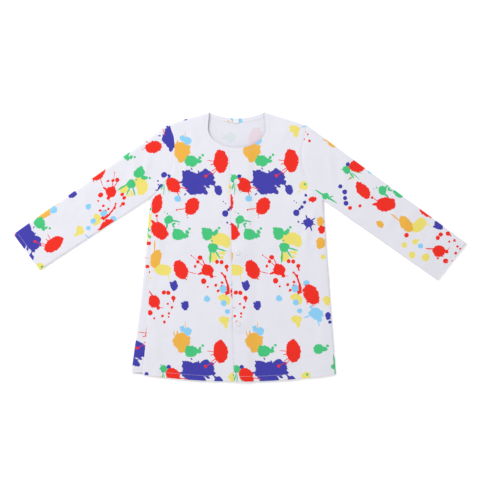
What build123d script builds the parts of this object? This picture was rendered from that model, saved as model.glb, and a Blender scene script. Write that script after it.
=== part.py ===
"""A child's long-sleeved artist's smock, laid out flat and face up, in millimetres.

+X is towards the wearer's left cuff, +Y towards the neck and +Z up from the table. The origin is under
the middle of the laid-out smock. Left and right are the wearer's. Each cloth piece is a thin sheet at
the height where it lies; the body and each sleeve are open tubes, flattened, with room inside. The left
front laps over the right front and closes on it with three press fasteners.
"""

import os

from build123d import *

# Cloth and heights
CLOTH = 0.6  # thickness of the cloth panels
FACING = 0.5  # thickness of the facing strips and the label
ROOM = 5.0  # clear height inside the body and the sleeves
FRONT_Z = CLOTH + ROOM  # underside of the front cloth
TOP_Z = FRONT_Z + CLOTH  # upper face of the front cloth
LAP_Z = 10.1  # underside of the left front where it laps over the right front
THREAD_WIDTH = 0.6
THREAD_RISE = 0.25  # how far a row of stitches stands above the cloth

# Body, as it lies
CENTRE_X = -7.0  # the centre front
NECK_HALF = 64.0  # half the neck opening at its widest
NECK_POINT_HALF = 61.0  # half the distance between the two neck points
NECK_POINT_Y = 296.0
NECK_WIDEST_Y = 262.0
NECK_DROP = 44.5  # from the widest level down to the front neckline
BACK_NECK_Y = 283.0
SHOULDER_RIGHT = (-156.0, 270.0)
SHOULDER_LEFT = (149.0, 266.0)
UNDERARM_RIGHT = (-197.0, 109.0)
UNDERARM_LEFT = (183.0, 103.0)
HEM_RIGHT = (-239.0, -277.0)
HEM_LEFT = (211.0, -280.0)
HEM_MIDDLE_Y = -296.0
SIDE_MIDDLE_RIGHT = (-211.0, -51.0)
SIDE_MIDDLE_LEFT = (194.0, -51.0)
SEAM_MIDDLE_RIGHT = (-197.0, -26.0)  # the back wraps onto the front here, up to the right side seam
SEAM_HEM_RIGHT = (-215.0, -281.2)
ARMHOLE_RIGHT = [(-147, 243), (-144.5, 215), (-147, 188), (-153, 165), (-169, 137)]
ARMHOLE_LEFT = [(141.5, 238), (136.5, 210), (138.5, 175), (148, 149), (163, 124)]

# Front edges and fold lines
FOLD_HALF = 60.0  # each front folds open on a line this far from the centre
FOLD_GAP = 0.4
LAP_EDGE_TOP_X = -23.0  # free edge of the left front, at the neckline
LAP_EDGE_HEM_X = -13.0
UNDER_EDGE_X = 11.0  # free edge of the right front, under the left one
RAMP_OUTER_X = 35.0  # the left front climbs from here
RAMP_INNER_X = 15.0  # to here, to clear the right front's edge
PLACKET_WIDTH = 32.0
NECK_FACING_WIDTH = 10.0

# Sleeves
CUFF_RIGHT = [(-498.0, 28.0), (-440.0, -51.0)]
CUFF_LEFT = [(498.0, 8.0), (434.0, -73.0)]
SLEEVE_GAP = 0.4  # between a sleeve and its fold line at the armhole
OPEN_END = 0.1  # the sleeve's room runs past each end by this share of its length

# Rows of stitches, measured in from the edge they hold
HEM_STITCH = 12.0
HEM_ROW_END = 3.0  # from the side corners of the hem
CUFF_STITCH = 9.0
STITCH_END = 3.0  # from the sleeve's folded edges to the ends of its row
NECK_STITCH = 8.5

# Press fasteners
SNAP_TOP_Y = 143.0
SNAP_PITCH = 156.0
SNAP_COUNT = 3
SNAP_LEAN = 1.6  # sideways step from each fastener to the next one down
CAP_RADIUS, CAP_HEIGHT = 6.2, 1.5
BODY_RADIUS = 5.3  # socket and stud
POST_RADIUS, HOLE_RADIUS = 0.9, 1.0
STUD_FLANGE, STUD_KNOB, KNOB_RADIUS = 1.1, 1.0, 2.1
SOCKET_HEIGHT, SOCKET_PLATE, CAVITY_RADIUS = 2.2, 0.6, 2.6

# Neck label
LABEL_WIDTH, LABEL_LENGTH = 12.5, 11.0
LABEL_X = -9.0
LABEL_CLEARANCE = 0.1  # over the stitches that it hangs across

FAR = 700.0  # past every edge of the smock


def fold_x(side):
    """The fold line's place: side is +1 for the wearer's left and -1 for the right."""
    return CENTRE_X + side * FOLD_HALF


def prism(face, low, high):
    return extrude(Pos(0, 0, low) * face, amount=high - low, dir=(0, 0, 1))


def rectangle(x0, x1, y0, y1):
    return Pos((x0 + x1) / 2, (y0 + y1) / 2) * Rectangle(x1 - x0, y1 - y0)


def closed(*edges):
    return make_face(Curve() + list(edges))


def band(edge, start, end):
    """The strip between two copies of an edge, moved by start and by end."""
    first, last = Pos(*start) * edge, Pos(*end) * edge
    return closed(first, last, Line(first @ 0, last @ 0), Line(first @ 1, last @ 1))


# Outlines ---------------------------------------------------------------------------------------

shoulder_right = Line((CENTRE_X - NECK_POINT_HALF, NECK_POINT_Y), SHOULDER_RIGHT)
shoulder_left = Line((CENTRE_X + NECK_POINT_HALF, NECK_POINT_Y), SHOULDER_LEFT)
armhole_right = Spline(SHOULDER_RIGHT, *ARMHOLE_RIGHT, UNDERARM_RIGHT)
armhole_left = Spline(SHOULDER_LEFT, *ARMHOLE_LEFT, UNDERARM_LEFT)
side_right = ThreePointArc(UNDERARM_RIGHT, SIDE_MIDDLE_RIGHT, HEM_RIGHT)
side_left = ThreePointArc(UNDERARM_LEFT, SIDE_MIDDLE_LEFT, HEM_LEFT)
seam_right = ThreePointArc(UNDERARM_RIGHT, SEAM_MIDDLE_RIGHT, SEAM_HEM_RIGHT)
hem = ThreePointArc(HEM_RIGHT, (CENTRE_X, HEM_MIDDLE_Y), HEM_LEFT)
back_neck = ThreePointArc(shoulder_right @ 0, (CENTRE_X, BACK_NECK_Y), shoulder_left @ 0)


def neck_hole(wider):
    """The front neck opening, widened all round."""
    half, drop = NECK_HALF + wider, NECK_DROP + wider
    top = NECK_POINT_HALF + wider
    bowl = Pos(CENTRE_X, NECK_WIDEST_Y) * Ellipse(half, drop)
    corners = [(-half, NECK_WIDEST_Y), (half, NECK_WIDEST_Y), (top, NECK_POINT_Y), (-top, NECK_POINT_Y)]
    throat = make_face(Polyline(*[(CENTRE_X + x, y) for x, y in corners], close=True))
    above = rectangle(CENTRE_X - top, CENTRE_X + top, NECK_POINT_Y, NECK_POINT_Y + 30)
    return bowl + throat + above


body_plan = closed(
    shoulder_right, armhole_right, side_right, hem, side_left, armhole_left, shoulder_left, back_neck
)
front_plan = body_plan - neck_hole(0)
wrap_plan = closed(side_right, seam_right, Line(HEM_RIGHT, SEAM_HEM_RIGHT)) & body_plan


def flap_zone(side):
    """Everything on the neckline's side of a fold line."""
    edges = (CENTRE_X - side * FAR, fold_x(side) - side * FOLD_GAP / 2)
    return rectangle(min(edges), max(edges), -FAR, FAR)


def side_zone(side):
    """Everything on the sleeve's side of a fold line."""
    edges = (fold_x(side) + side * FOLD_GAP / 2, CENTRE_X + side * FAR)
    return rectangle(min(edges), max(edges), -FAR, FAR)


lap_edge = [
    (LAP_EDGE_TOP_X, FAR),
    (LAP_EDGE_TOP_X, NECK_WIDEST_Y - NECK_DROP),
    (LAP_EDGE_HEM_X, HEM_MIDDLE_Y),
    (LAP_EDGE_HEM_X, -FAR),
]
left_of_lap_edge = make_face(Polyline(*lap_edge, (FAR, -FAR), (FAR, FAR), close=True))
right_of_under_edge = rectangle(-FAR, UNDER_EDGE_X, -FAR, FAR)
left_side_plan = front_plan & side_zone(1)
left_flap_plan = front_plan & flap_zone(1) & left_of_lap_edge
right_side_plan = front_plan & side_zone(-1) - wrap_plan
right_flap_plan = front_plan & flap_zone(-1) & right_of_under_edge


def lapped(plan, below, above):
    """A layer of the left front flap: from below under its cloth to above over its underside."""
    rise = LAP_Z - FRONT_Z
    line = [(-FAR, rise), (RAMP_INNER_X, rise), (RAMP_OUTER_X, 0), (FAR, 0)]
    lower = [(x, FRONT_Z - below + z) for x, z in line]
    upper = [(x, FRONT_Z + above + z) for x, z in reversed(line)]
    section = Plane.XZ * make_face(Polyline(*lower, *upper, close=True))
    return extrude(section, amount=FAR, both=True) & prism(plan, 0, LAP_Z + 10)


# Press fasteners --------------------------------------------------------------------------------


def snap_places():
    return [
        (CENTRE_X + SNAP_LEAN * i, SNAP_TOP_Y - SNAP_PITCH * i) for i in range(SNAP_COUNT)
    ]


def disc(radius, low, high):
    return Pos(0, 0, (low + high) / 2) * Cylinder(radius, high - low)


def snap_cap(face_z, outward, post_end, head_radius):
    """A domed cap on one face of the cloth, with its post through the cloth and the clenched head."""
    rim = face_z + outward * CAP_HEIGHT
    cap = disc(CAP_RADIUS, *sorted((face_z, rim)))
    outer_edge = cap.edges().filter_by(GeomType.CIRCLE).sort_by(Axis.Z)[-1 if outward > 0 else 0]
    cap = fillet(outer_edge, CAP_HEIGHT * 0.8)
    post = disc(POST_RADIUS, *sorted((face_z, post_end)))
    head = disc(head_radius, *sorted((post_end, post_end - outward * 0.3)))
    return cap + post + head


def snap_parts():
    """The four pieces of one closed fastener, on the Z axis, by name."""
    socket_top = LAP_Z - FACING
    socket_low = socket_top - SOCKET_HEIGHT
    plate_low = socket_top - SOCKET_PLATE
    knob_low = TOP_Z + STUD_FLANGE
    knob_top = knob_low + STUD_KNOB
    recess_low = knob_top - 0.4
    socket = disc(BODY_RADIUS, socket_low, socket_top)
    socket -= disc(CAVITY_RADIUS, socket_low, plate_low)
    socket -= disc(HOLE_RADIUS, plate_low, socket_top)
    stud = disc(BODY_RADIUS, TOP_Z, knob_low)
    stud += Pos(0, 0, (knob_low + knob_top) / 2) * Cone(KNOB_RADIUS, KNOB_RADIUS - 0.3, STUD_KNOB)
    stud -= disc(HOLE_RADIUS, TOP_Z, knob_top)
    stud -= disc(1.5, recess_low, knob_top)
    return {
        "snap_cap": snap_cap(LAP_Z + CLOTH, 1, plate_low, 1.6),
        "snap_socket": socket,
        "snap_stud": stud,
        "snap_back_cap": snap_cap(FRONT_Z - FACING, -1, recess_low, 1.4),
    }


def post_holes():
    """The holes that the posts make in the cloth and facings of both fronts."""
    return Sketch() + [Pos(x, y) * Circle(HOLE_RADIUS) for x, y in snap_places()]


# Sleeves ----------------------------------------------------------------------------------------


def sleeve_layers(shoulder, underarm, cuff):
    """An open flattened tube from the armhole's fold line to the cuff: its front, and its back and edges."""
    shoulder, underarm = Vector(*shoulder), Vector(*underarm)
    cuff_top, cuff_low = (Vector(*p) for p in cuff)
    outward = Vector(cuff_top.X, 0, 0).normalized() * SLEEVE_GAP
    start_top, start_low = shoulder + outward, underarm + outward
    plan = make_face(Polyline(start_top, cuff_top, cuff_low, start_low, close=True))
    inward_top = across(start_top, cuff_top, cuff_low)
    inward_low = across(start_low, cuff_low, cuff_top)
    past_top, past_low = (cuff_top - start_top) * OPEN_END, (cuff_low - start_low) * OPEN_END
    room_corners = [
        start_top + inward_top - past_top,
        cuff_top + inward_top + past_top,
        cuff_low + inward_low + past_low,
        start_low + inward_low - past_low,
    ]
    room_plan = make_face(Polyline(*room_corners, close=True))
    back = prism(plan, 0, FRONT_Z) - prism(room_plan, CLOTH, FRONT_Z)
    return prism(plan, FRONT_Z, TOP_Z), back


def across(start, end, other):
    """A step of the cloth's thickness from the line start-end, square to it, towards other."""
    along = (end - start).normalized()
    step = Vector(-along.Y, along.X)
    return step * CLOTH if step.dot(other - start) > 0 else step * -CLOTH


def sleeve_cap(armhole, shoulder, underarm):
    """The sleeve's cloth between the armhole seam and the fold line, back layer and front layer."""
    crescent = closed(armhole, Line(shoulder, underarm))
    return [prism(crescent, 0, CLOTH), prism(crescent, FRONT_Z, TOP_Z)]


def cuff_stitches(shoulder, underarm, cuff):
    """A row across the sleeve's upper face, beside the cuff."""
    (x0, y0), (x1, y1) = cuff
    top, low = Vector(x0, y0), Vector(x1, y1)
    along_top = (Vector(*shoulder) - top).normalized()
    along_low = (Vector(*underarm) - low).normalized()
    share = STITCH_END / (low - top).length
    points = []
    for reach in (CUFF_STITCH - THREAD_WIDTH / 2, CUFF_STITCH + THREAD_WIDTH / 2):
        a, b = top + along_top * reach, low + along_low * reach
        ends = [a + (b - a) * share, b + (a - b) * share]
        points += ends if not points else reversed(ends)
    return prism(make_face(Polyline(*points, close=True)), TOP_Z, TOP_Z + THREAD_RISE)


# Pieces -----------------------------------------------------------------------------------------


def back_pieces():
    side_wall = prism(band(side_right, (0, 0), (CLOTH, 0)) & body_plan, CLOTH, FRONT_Z)
    back = prism(body_plan, 0, CLOTH) + side_wall + prism(wrap_plan, FRONT_Z, TOP_Z)
    reach = NECK_POINT_HALF - 3
    middle = rectangle(CENTRE_X - reach, CENTRE_X + reach, 0, FAR)
    facing_plan = band(back_neck, (0, 0), (0, -NECK_FACING_WIDTH)) & middle
    neck_row = band(back_neck, (0, -NECK_STITCH), (0, -NECK_STITCH - THREAD_WIDTH)) & middle
    label_plan = rectangle(
        LABEL_X - LABEL_WIDTH / 2, LABEL_X + LABEL_WIDTH / 2, BACK_NECK_Y - LABEL_LENGTH, BACK_NECK_Y
    )
    label_z = CLOTH + FACING + THREAD_RISE + LABEL_CLEARANCE
    return {
        "back_panel": back,
        "back_neck_facing": prism(facing_plan, CLOTH, CLOTH + FACING),
        "back_neck_stitches": prism(neck_row, CLOTH + FACING, CLOTH + FACING + THREAD_RISE),
        "back_hem_stitches": prism(hem_row() & body_plan, CLOTH, CLOTH + THREAD_RISE),
        "neck_label": prism(label_plan, label_z, label_z + FACING),
    }


def hem_row():
    """The row of stitches along the hem, ending clear of the side walls."""
    inset = HEM_STITCH - THREAD_WIDTH / 2
    inside = rectangle(HEM_RIGHT[0] + HEM_ROW_END, HEM_LEFT[0] - HEM_ROW_END, -FAR, 0)
    return band(hem, (0, inset), (0, inset + THREAD_WIDTH)) & inside


def neck_ring(inner, outer):
    return (neck_hole(outer) - neck_hole(inner)) & front_plan


def front_side_pieces(name, plan, shoulder, wall=None):
    seam_wall = band(shoulder, (0, 0), (0, -CLOTH)) & front_plan
    cloth = prism(plan, FRONT_Z, TOP_Z) + prism(seam_wall, CLOTH, FRONT_Z)
    if wall:
        cloth += prism(wall & front_plan, CLOTH, FRONT_Z)
    clear = plan - (Pos(0, -CLOTH - 0.1) * neck_margin(shoulder))
    half_row = THREAD_WIDTH / 2
    row = neck_ring(NECK_STITCH - half_row, NECK_STITCH + half_row) & plan
    return {
        f"{name}_front_side": cloth,
        f"{name}_neck_facing_upper": prism(
            neck_ring(0, NECK_FACING_WIDTH) & clear, FRONT_Z - FACING, FRONT_Z
        ),
        f"{name}_neck_stitches_upper": prism(row, TOP_Z, TOP_Z + THREAD_RISE),
        f"{name}_hem_stitches_side": prism(hem_row() & plan, TOP_Z, TOP_Z + THREAD_RISE),
    }


def neck_margin(shoulder):
    """The ground above a shoulder seam, which the facing stays clear of."""
    start, end = shoulder @ 0, shoulder @ 1
    return make_face(Polyline(start, end, (end.X, FAR), (start.X, FAR), close=True)) + rectangle(
        *sorted((start.X, CENTRE_X)), start.Y, FAR
    )


def left_flap_pieces():
    cloth = left_flap_plan - post_holes()
    placket_plan = cloth - (Pos(PLACKET_WIDTH, 0) * left_of_lap_edge) - neck_hole(NECK_FACING_WIDTH)
    half_row = THREAD_WIDTH / 2
    row = neck_ring(NECK_STITCH - half_row, NECK_STITCH + half_row) & left_flap_plan
    return {
        "left_front_flap": lapped(cloth, 0, CLOTH),
        "left_placket_facing": lapped(placket_plan, FACING, 0),
        "left_neck_facing_lower": lapped(neck_ring(0, NECK_FACING_WIDTH) & left_flap_plan, FACING, 0),
        "left_neck_stitches_lower": lapped(row, -CLOTH, CLOTH + THREAD_RISE),
        "left_hem_stitches_flap": lapped(hem_row() & left_flap_plan, -CLOTH, CLOTH + THREAD_RISE),
    }


def right_flap_pieces():
    cloth = right_flap_plan - post_holes()
    placket_plan = cloth - (Pos(-PLACKET_WIDTH, 0) * right_of_under_edge) - neck_hole(NECK_FACING_WIDTH)
    half_row = THREAD_WIDTH / 2
    row = neck_ring(NECK_STITCH - half_row, NECK_STITCH + half_row) & right_flap_plan
    facing_plan = neck_ring(0, NECK_FACING_WIDTH) & right_flap_plan
    return {
        "right_front_flap": prism(cloth, FRONT_Z, TOP_Z),
        "right_placket_facing": prism(placket_plan, FRONT_Z - FACING, FRONT_Z),
        "right_neck_facing_lower": prism(facing_plan, FRONT_Z - FACING, FRONT_Z),
        "right_neck_stitches_lower": prism(row, TOP_Z, TOP_Z + THREAD_RISE),
        "right_hem_stitches_flap": prism(hem_row() & right_flap_plan, TOP_Z, TOP_Z + THREAD_RISE),
    }


def sleeve_pieces(name, armhole, shoulder, underarm, cuff):
    front, back = sleeve_layers(shoulder, underarm, cuff)
    return {
        f"{name}_sleeve_front": front,
        f"{name}_sleeve_back": back,
        f"{name}_sleeve_cap": sleeve_cap(armhole, shoulder, underarm),
        f"{name}_cuff_stitches": cuff_stitches(shoulder, underarm, cuff),
    }


def snap_pieces():
    return {
        f"{name}_{i + 1}": Pos(x, y) * solid
        for i, (x, y) in enumerate(snap_places())
        for name, solid in snap_parts().items()
    }


def build():
    """Every piece of the smock, by node name."""
    left_wall = band(side_left, (0, 0), (-CLOTH, 0))
    pieces = back_pieces()
    pieces |= front_side_pieces("left", left_side_plan, shoulder_left, left_wall)
    pieces |= front_side_pieces("right", right_side_plan, shoulder_right)
    pieces |= left_flap_pieces()
    pieces |= right_flap_pieces()
    pieces |= sleeve_pieces("left", armhole_left, SHOULDER_LEFT, UNDERARM_LEFT, CUFF_LEFT)
    pieces |= sleeve_pieces("right", armhole_right, SHOULDER_RIGHT, UNDERARM_RIGHT, CUFF_RIGHT)
    pieces |= snap_pieces()
    return pieces


def solids_of(shape):
    """The solids of a shape, or of a list of shapes."""
    shapes = shape if isinstance(shape, list) else [shape]
    return [solid for s in shapes for solid in s.solids()]


os.makedirs("parts", exist_ok=True)
for node, shape in build().items():
    solids = solids_of(shape)
    export_step(solids[0] if len(solids) == 1 else Compound(children=solids), f"parts/{node}.step")
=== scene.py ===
"""The look of a child's printed smock, laid out flat and face up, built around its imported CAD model.

Plans, heights and the print's places are in millimetres, in the model's own frame, and every mesh is
turned into metres when it is made. Left and right are the wearer's.
"""

import math

import bmesh
import bpy
import numpy as np
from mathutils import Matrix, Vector, geometry, noise


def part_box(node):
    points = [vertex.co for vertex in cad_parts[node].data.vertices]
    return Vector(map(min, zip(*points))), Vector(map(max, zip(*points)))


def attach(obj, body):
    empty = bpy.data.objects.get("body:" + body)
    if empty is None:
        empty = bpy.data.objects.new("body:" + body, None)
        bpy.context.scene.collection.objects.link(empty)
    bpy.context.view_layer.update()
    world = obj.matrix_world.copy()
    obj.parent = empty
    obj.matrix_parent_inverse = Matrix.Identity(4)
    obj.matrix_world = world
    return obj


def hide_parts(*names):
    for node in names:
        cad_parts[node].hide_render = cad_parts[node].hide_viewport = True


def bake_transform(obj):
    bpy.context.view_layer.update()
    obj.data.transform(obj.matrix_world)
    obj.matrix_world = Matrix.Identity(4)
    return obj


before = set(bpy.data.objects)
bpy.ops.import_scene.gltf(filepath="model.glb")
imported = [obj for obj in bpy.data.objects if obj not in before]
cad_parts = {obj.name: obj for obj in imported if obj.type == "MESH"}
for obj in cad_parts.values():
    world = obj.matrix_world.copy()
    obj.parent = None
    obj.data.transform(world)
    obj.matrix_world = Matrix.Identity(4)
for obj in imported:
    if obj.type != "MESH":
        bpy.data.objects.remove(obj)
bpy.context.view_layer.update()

MM = 0.001

# Cloth and heights
CLOTH = 0.5  # thickness of the cloth
FACING = 0.4
BACK_MID = 0.3  # middle of the back layer's thickness
FRONT_MID = 5.9  # and of the front layer's
TUBE_MID = (BACK_MID + FRONT_MID) / 2
TUBE_HALF = (FRONT_MID - BACK_MID) / 2
EDGE_ROLL = 5.0  # how far in from a folded or seamed edge the cloth curves down
HEM_FOLD = 0.75  # from the cloth to its turned-up hem

# Plan of the body
CENTRE_X = -7.0
NECK_HALF, NECK_DROP = 64.0, 44.5
NECK_POINT_HALF = 61.0
NECK_POINT_Y, NECK_WIDEST_Y, BACK_NECK_Y = 296.0, 262.0, 283.0
SHOULDER_RIGHT, SHOULDER_LEFT = (-156.0, 270.0), (149.0, 266.0)
UNDERARM_RIGHT, UNDERARM_LEFT = (-197.0, 109.0), (183.0, 103.0)
HEM_RIGHT, HEM_LEFT, HEM_MIDDLE = (-239.0, -277.0), (211.0, -280.0), (-7.0, -296.0)
SIDE_MIDDLE_RIGHT, SIDE_MIDDLE_LEFT = (-211.0, -51.0), (194.0, -51.0)
SEAM_MIDDLE_RIGHT, SEAM_HEM_RIGHT = (-197.0, -26.0), (-215.0, -281.2)
ARMHOLE_RIGHT = [(-147, 243), (-144.5, 215), (-147, 188), (-153, 165), (-169, 137)]
ARMHOLE_LEFT = [(141.5, 238), (136.5, 210), (138.5, 175), (148, 149), (163, 124)]
CUFF_RIGHT = [(-498.0, 28.0), (-440.0, -51.0)]
CUFF_LEFT = [(498.0, 8.0), (434.0, -73.0)]

# Front edges
FOLD_LEFT, FOLD_RIGHT = 53.0, -67.0  # the lines that the fronts fold open on
LAP_TOP_X, LAP_HEM_X = -23.0, -13.0
UNDER_X = 11.0
RAMP_INNER, RAMP_OUTER = 15.0, 37.0
LAP_LOW, LAP_HIGH = 2.3, 4.5  # the left front's rise between the fasteners and at them
PLACKET_WIDTH = 32.0
EDGE_BAND_TOP, EDGE_BAND_LOW = 206.0, -281.0  # ends of the facings along the free edges
FACING_WIDTH = 10.0

# Sleeves
EDGE_MARKS = [0, 0.6, 1.5, 2.7, 4.2, 6.0]  # mesh lines this far in from each folded edge
SLEEVE_COLUMNS, SLEEVE_ROWS = 27, 84
SLEEVE_SETTLE = 0.9  # the upper layer lies this much lower at the cuff

# Fasteners
SNAPS = [(CENTRE_X + 1.6 * i, 143.0 - 156.0 * i) for i in range(3)]
SNAP_FLAT, SNAP_SPREAD = 8.0, 27.0  # the cloth is level this near a fastener, and settled this far off
CAP_HEIGHT = 1.5
# Radius and height along a cap, from its dished middle over its rim to its flat underside
CAP_PROFILE = [
    (0.0001, 1.02), (1.3, 1.05), (1.7, 1.22), (3.2, 1.40), (4.3, 1.42), (4.6, 1.28), (4.9, 1.28), (5.2, 1.30),
    (5.7, 1.12), (6.05, 0.78), (6.2, 0.4), (6.15, 0.1), (5.8, 0.02), (0.0001, 0.02),
]

# Label
LABEL_THICK = 0.35
LABEL_COLUMNS, LABEL_ROWS = 13, 11

# Stitches
STITCH, STITCH_PITCH, THREAD = 2.5, 3.1, 0.24
STITCH_SIDES = 6
# Along a stitch: share of its length, share of the thread's thickness, height
STITCH_PROFILE = (
    (-0.5, 0.25, -0.36), (-0.42, 0.8, 0.0), (-0.15, 1.0, 0.144), (0.15, 1.0, 0.144), (0.42, 0.8, 0.0),
    (0.5, 0.25, -0.36),
)
HEM_DEPTH, CUFF_DEPTH, NECK_ROW = 12.0, 9.0, 8.5
HEM_ROW, CUFF_ROW = HEM_DEPTH - 1.2, CUFF_DEPTH - 1  # from the fold to the stitches

# Unevenness of each layer: height, size and seed of its noise
FRONT_UNEVEN = ((0.5, 46, 1.7), (0.22, 17, 5.1), (0.07, 6.5, 9.4))
SLEEVE_UNEVEN = ((0.45, 40, 0), (0.2, 14, 2))

# Cloth and inks, as linear colours
CLOTH_WHITE = (0.822, 0.810, 0.862)
INSIDE_WHITE = (0.80, 0.79, 0.85)
# Inks in the order that they are printed in, the last on top
INKS = {
    "yellow": (0.86, 0.74, 0.16),
    "orange": (0.87, 0.45, 0.055),
    "cyan": (0.26, 0.62, 0.90),
    "green": (0.055, 0.56, 0.20),
    "blue": (0.045, 0.040, 0.39),
    "red": (0.88, 0.016, 0.004),
}

# Print: one tile of it, repeated. A blob is (x, y, half width, half height, lean in degrees);
# a drop is (x, y, radius); a streak runs from one point to another with a half width.
TILE = (-145.2, 145.2, -168.9, 250.2)
SWELL = 1.1  # ink spreads a little past each shape
BLOBS = {
    "yellow": [
        (73.7, 16.7, 19, 13, 0), (88.4, 11.2, 9, 12, 0), (60, -23.7, 9, 10, 0), (79.2, -14.5, 9, 3.5, 0),
        (-51, -50.6, 18, 12, -10), (82, -112, 11, 7, 0), (93, -119.4, 4, 9, 0), (84.7, -161.5, 11, 8, 0),
        (87.4, -172.5, 4.5, 7, 0), (104, 132.6, 9, 9.5, 0), (-139.5, -120.2, 8, 9, 0),
    ],
    "orange": [
        (-9.7, 211.7, 17.5, 17, 0), (-8.8, 195.3, 9, 9, 0), (-66.5, -25.5, 10.5, 19, -15),
        (139.5, 53.1, 7.5, 9, 0), (138.8, 6.1, 9, 11, 0), (-101.2, 19.3, 6, 9, 0),
    ],
    "cyan": [
        (-7.9, 238.3, 5, 6, 0), (3.7, 232.8, 8, 8.7, 0), (81, -93.7, 7.7, 8, 0), (127, -149, 15, 12, -15),
        (-18, 105.8, 7, 7.3, 0), (46.2, -114.8, 6.2, 5.6, 0), (107.8, -82, 6.5, 6.5, 0),
    ],
    "green": [
        (11.4, 188.8, 13.5, 11.5, 0), (26, 188.8, 7.5, 5, 0), (5, 198, 5, 4, 0), (5.9, 180.6, 5, 3, 0),
        (-38.1, 58.9, 9, 9, 0), (-17, 26.8, 12, 12, 0), (-3.3, 24.9, 8, 6, 0), (-24.4, 35.9, 4, 4, 0),
        (47.1, 27.7, 11, 12, 0), (40.7, 36.9, 5, 5, 0), (60.9, 29.5, 8, 4, 0), (59, -2.6, 10.5, 10, 0),
        (-49, 150, 7.5, 8, 0), (-124, 152, 7, 6, 0), (132, 192, 10, 11, 0), (144, 192, 7, 5, 0),
    ],
    "blue": [
        (16.9, 143.9, 24, 19, 0), (4, 156.8, 11.5, 11, 0), (44.4, 151.3, 16, 16, 0), (43.5, 164.1, 7, 7, 0),
        (22.4, 125.6, 20, 11, 0), (38.9, 120.1, 8, 5, 0), (58.1, 140.3, 6, 5, 0), (53.5, 158.6, 7, 5, 0),
        (71.9, 123.8, 7.6, 9.6, 0), (-26.2, -85.4, 7.5, 9.8, 0), (-1.5, -130.3, 7.5, 9.8, 0),
        (112.2, 50.7, 9.5, 9, 0), (-137, -154.6, 6, 8, 0),
    ],
    "red": [
        (76.4, 187.9, 14.3, 23.5, 3), (-28, 135.7, 13, 17, 40), (-64, 94, 11, 20, -17),
        (13.2, 89.1, 13.5, 18, -28), (-58.3, 35, 14.5, 20, 48), (-11.5, -50.6, 13, 20, 24),
        (47.1, -51.2, 12.3, 12.5, 0), (-70.2, -120.3, 12.3, 12.6, 0), (117, -106.8, 15, 22, 28),
        (93, -93.7, 3.6, 11, 6), (141.7, 35.1, 7, 9, 0), (123.5, 103, 8, 6, 20), (91.1, -101, 5, 5, 0),
    ],
}
DROPS = {
    "yellow": [
        (79.2, -23.7, 3.6), (-105.6, -51.2, 5.5), (-112.9, -77.6, 7), (-99, -105, 8), (-86, -66, 5.5),
        (144.1, -24.8, 5), (-78.5, -68.9, 2.5),
    ],
    "cyan": [
        (82.9, -123.9, 6), (91.1, -142.3, 5), (-85.8, -80.9, 5.2), (116, -134, 3), (136, -163, 4),
    ],
    "green": [
        (30.6, 196.2, 3), (36.7, 201.7, 2.6), (2.2, 33.2, 3.3), (7.7, 39.6, 2.8), (67.3, 35, 3.4),
        (72.8, 41.4, 2.7), (-41.2, 73.5, 1.6), (-47.3, 76.3, 1.1), (57.2, 13, 1.8), (106, 136, 2.6),
        (-25.6, 51, 2.2), (-16, 50, 1.2), (-139, 199, 2.8),
    ],
    "blue": [
        (64.5, 131.5, 2.4), (-38.1, 154.9, 4.1), (86.5, 73.5, 6.6), (93.9, 81.8, 2.8), (-33.5, -79.4, 2.4),
        (-8.8, -124.3, 2.4), (-52.8, 143.9, 1.2), (82, 99.6, 1.2), (87, 95.5, 1.2), (91, 53.4, 2),
        (-87, 139, 4), (-91, 124, 4.8), (-101, 115.4, 4.2), (-109, 107, 4.9), (107.8, 111.7, 3),
        (104.7, 96.3, 3.3), (99, 86, 3.4), (-133, -168, 3.4),
    ],
    "red": [
        (-20.7, 80.9, 1.7), (-64.2, 68, 2.6), (68.2, -33.2, 3.9), (78.3, -34.1, 4.1), (89.3, -43.8, 4.2),
        (31, -23.7, 4.9), (26, -33.2, 3.5), (20, -42.9, 2.6), (11.4, -19.1, 1.5), (32.5, -58.5, 2.6),
        (28.4, -60, 2), (56.3, -64.9, 4), (38.9, -75.7, 5.5), (48, -88.2, 2.2), (65.5, -84.5, 3),
        (79.6, -79, 2.7), (78.3, -85.8, 1.7), (70.4, -97, 2.9), (78.3, -58.3, 2.2), (86, -66, 3.2),
        (-85.4, -42, 4.8), (-48.8, -100.6, 4.3), (-39, -101.4, 4.3), (-28, -112.9, 4.5),
        (-39.6, -125.8, 2.3), (-30.8, -133, 2.8), (-37.8, -146.5, 2.5), (-38.5, -154.2, 1.8),
        (-51.9, -152.7, 2.8), (-47.7, -165.7, 2.8), (-78.8, -145, 5.3), (-69.7, -157.5, 2.2),
        (-61.4, -134.4, 3.9), (-84.9, -127.6, 2.2), (-112, 93.4, 4), (-95, 78.5, 3.4), (3.5, 64, 1.2),
        (43.5, 155.8, 3),
    ],
}
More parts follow.
